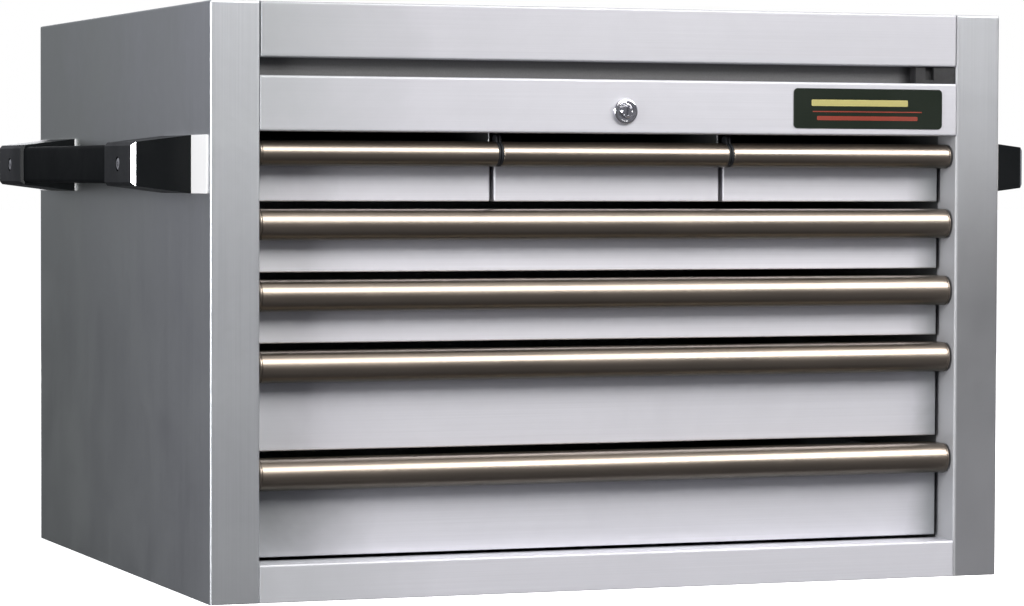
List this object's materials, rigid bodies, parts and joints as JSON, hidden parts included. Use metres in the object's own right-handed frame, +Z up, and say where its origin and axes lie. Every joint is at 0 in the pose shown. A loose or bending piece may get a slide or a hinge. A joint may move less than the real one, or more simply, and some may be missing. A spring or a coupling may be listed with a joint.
{
  "type": "top tool chest",
  "caption": "Stainless top tool chest with a hinged lid over a tray, drawers on slides with full-width pulls, a key lock and side handles.",
  "frame": {"origin": "centre of the overall box, on the plane the chest stands on", "axes": "+X to the right as seen from the front, front towards -Y, +Z up"},
  "size_m": [0.786, 0.57, 0.47],
  "materials": {
    "stainless_case": "brushed",
    "stainless_front": "brushed",
    "stainless_inner": "mill",
    "slide_zinc": "zinc plated",
    "hinge_steel": "satin",
    "bright_steel": "polished",
    "lock_chrome": "polished",
    "polished_plate": "polished",
    "satin_pull": "satin anodised",
    "cap_black": "satin",
    "handle_black": "semi-gloss",
    "seal_rubber": "matt",
    "label_enamel": "gloss",
    "strut_black": "gloss paint"
  },
  "bodies": {
    "case": {"right_side_panel": "stainless_case", "left_side_panel": "stainless_case", "inner_side_walls": "stainless_inner", "back_panel": "stainless_case", "bottom_pan": "stainless_case", "lock_panel": "stainless_front", "finger_gap_seal": "seal_rubber", "tray_floor": "stainless_inner", "small_drawer_partitions": "stainless_inner", "fixed_slide_members": "slide_zinc", "case_hinge_leaf": "hinge_steel", "hinge_pin": "hinge_steel", "lock_body": "lock_chrome", "label_plate": "label_enamel", "strut_wall_studs": "bright_steel", "right_handle_brackets": "handle_black", "left_handle_brackets": "handle_black", "right_handle_bar": "handle_black", "left_handle_bar": "handle_black", "handle_backing_plates": "polished_plate", "handle_screws": "bright_steel"},
    "lid": {"lid_shell": "stainless_front", "lid_hinge_leaf": "hinge_steel", "lid_strut_studs": "bright_steel", "lid_catch": "slide_zinc"},
    "lock_cylinder": {"lock_plug": "lock_chrome", "lock_cam": "slide_zinc"},
    "left_strut_cylinder": {"left_strut_tube": "strut_black"},
    "left_strut_piston": {"left_strut_rod": "bright_steel"},
    "right_strut_cylinder": {"right_strut_tube": "strut_black"},
    "right_strut_piston": {"right_strut_rod": "bright_steel"},
    "lower_deep_drawer": {"lower_deep_drawer_box": "stainless_front", "lower_deep_drawer_pull": "satin_pull", "lower_deep_drawer_pull_caps": "satin_pull", "lower_deep_drawer_inner_slides": "slide_zinc"},
    "lower_deep_middle_slides": {"lower_deep_drawer_middle_slides": "slide_zinc"},
    "upper_deep_drawer": {"upper_deep_drawer_box": "stainless_front", "upper_deep_drawer_pull": "satin_pull", "upper_deep_drawer_pull_caps": "satin_pull", "upper_deep_drawer_inner_slides": "slide_zinc"},
    "upper_deep_middle_slides": {"upper_deep_drawer_middle_slides": "slide_zinc"},
    "lower_shallow_drawer": {"lower_shallow_drawer_box": "stainless_front", "lower_shallow_drawer_pull": "satin_pull", "lower_shallow_drawer_pull_caps": "satin_pull", "lower_shallow_drawer_inner_slides": "slide_zinc"},
    "lower_shallow_middle_slides": {"lower_shallow_drawer_middle_slides": "slide_zinc"},
    "upper_shallow_drawer": {"upper_shallow_drawer_box": "stainless_front", "upper_shallow_drawer_pull": "satin_pull", "upper_shallow_drawer_pull_caps": "satin_pull", "upper_shallow_drawer_inner_slides": "slide_zinc"},
    "upper_shallow_middle_slides": {"upper_shallow_drawer_middle_slides": "slide_zinc"},
    "left_small_drawer": {"left_small_drawer_box": "stainless_front", "left_small_drawer_pull": "satin_pull", "left_small_drawer_pull_caps": "cap_black"},
    "middle_small_drawer": {"middle_small_drawer_box": "stainless_front", "middle_small_drawer_pull": "satin_pull", "middle_small_drawer_pull_caps": "cap_black"},
    "right_small_drawer": {"right_small_drawer_box": "stainless_front", "right_small_drawer_pull": "satin_pull", "right_small_drawer_pull_caps": "cap_black"}
  },
  "joints": [
    {"name": "lid_hinge", "type": "hinge", "parent": "case", "child": "lid", "pos_m": [0, 0.2776, 0.466], "axis": [-1, 0, 0], "range_deg": [0, 82]},
    {"name": "lock_turn", "type": "hinge", "parent": "case", "child": "lock_cylinder", "pos_m": [0.004, -0.28, 0.387], "axis": [0, 1, 0], "range_deg": [0, 90]},
    {"name": "left_strut_pivot", "type": "hinge", "parent": "case", "child": "left_strut_cylinder", "pos_m": [-0.292, 0.2536, 0.396], "axis": [-1, 0, 0], "range_deg": [0, 62.4]},
    {"name": "left_strut_slide", "type": "slide", "parent": "left_strut_cylinder", "child": "left_strut_piston", "axis": [0, -0.9066, 0.422], "range_m": [0, 0.0796]},
    {"name": "right_strut_pivot", "type": "hinge", "parent": "case", "child": "right_strut_cylinder", "pos_m": [0.292, 0.2536, 0.396], "axis": [-1, 0, 0], "range_deg": [0, 62.4]},
    {"name": "right_strut_slide", "type": "slide", "parent": "right_strut_cylinder", "child": "right_strut_piston", "axis": [0, -0.9066, 0.422], "range_m": [0, 0.0796]},
    {"name": "lower_deep_drawer_slide", "type": "slide", "parent": "case", "child": "lower_deep_drawer", "axis": [0, -1, 0], "range_m": [0, 0.44]},
    {"name": "lower_deep_middle_slide", "type": "slide", "parent": "case", "child": "lower_deep_middle_slides", "axis": [0, -1, 0], "range_m": [0, 0.22]},
    {"name": "upper_deep_drawer_slide", "type": "slide", "parent": "case", "child": "upper_deep_drawer", "axis": [0, -1, 0], "range_m": [0, 0.44]},
    {"name": "upper_deep_middle_slide", "type": "slide", "parent": "case", "child": "upper_deep_middle_slides", "axis": [0, -1, 0], "range_m": [0, 0.22]},
    {"name": "lower_shallow_drawer_slide", "type": "slide", "parent": "case", "child": "lower_shallow_drawer", "axis": [0, -1, 0], "range_m": [0, 0.44]},
    {"name": "lower_shallow_middle_slide", "type": "slide", "parent": "case", "child": "lower_shallow_middle_slides", "axis": [0, -1, 0], "range_m": [0, 0.22]},
    {"name": "upper_shallow_drawer_slide", "type": "slide", "parent": "case", "child": "upper_shallow_drawer", "axis": [0, -1, 0], "range_m": [0, 0.44]},
    {"name": "upper_shallow_middle_slide", "type": "slide", "parent": "case", "child": "upper_shallow_middle_slides", "axis": [0, -1, 0], "range_m": [0, 0.22]},
    {"name": "left_small_drawer_slide", "type": "slide", "parent": "case", "child": "left_small_drawer", "axis": [0, -1, 0], "range_m": [0, 0.38]},
    {"name": "middle_small_drawer_slide", "type": "slide", "parent": "case", "child": "middle_small_drawer", "axis": [0, -1, 0], "range_m": [0, 0.38]},
    {"name": "right_small_drawer_slide", "type": "slide", "parent": "case", "child": "right_small_drawer", "axis": [0, -1, 0], "range_m": [0, 0.38]}
  ],
  "couplings": [
    {"joint": "left_strut_pivot", "follows": "lid_hinge", "ratio": 0.75483},
    {"joint": "left_strut_slide", "follows": "lid_hinge", "m_per_rad": 0.055038},
    {"joint": "right_strut_pivot", "follows": "lid_hinge", "ratio": 0.75483},
    {"joint": "right_strut_slide", "follows": "lid_hinge", "m_per_rad": 0.055038},
    {"joint": "lower_deep_middle_slide", "follows": "lower_deep_drawer_slide", "ratio": 0.5},
    {"joint": "upper_deep_middle_slide", "follows": "upper_deep_drawer_slide", "ratio": 0.5},
    {"joint": "lower_shallow_middle_slide", "follows": "lower_shallow_drawer_slide", "ratio": 0.5},
    {"joint": "upper_shallow_middle_slide", "follows": "upper_shallow_drawer_slide", "ratio": 0.5}
  ]
}
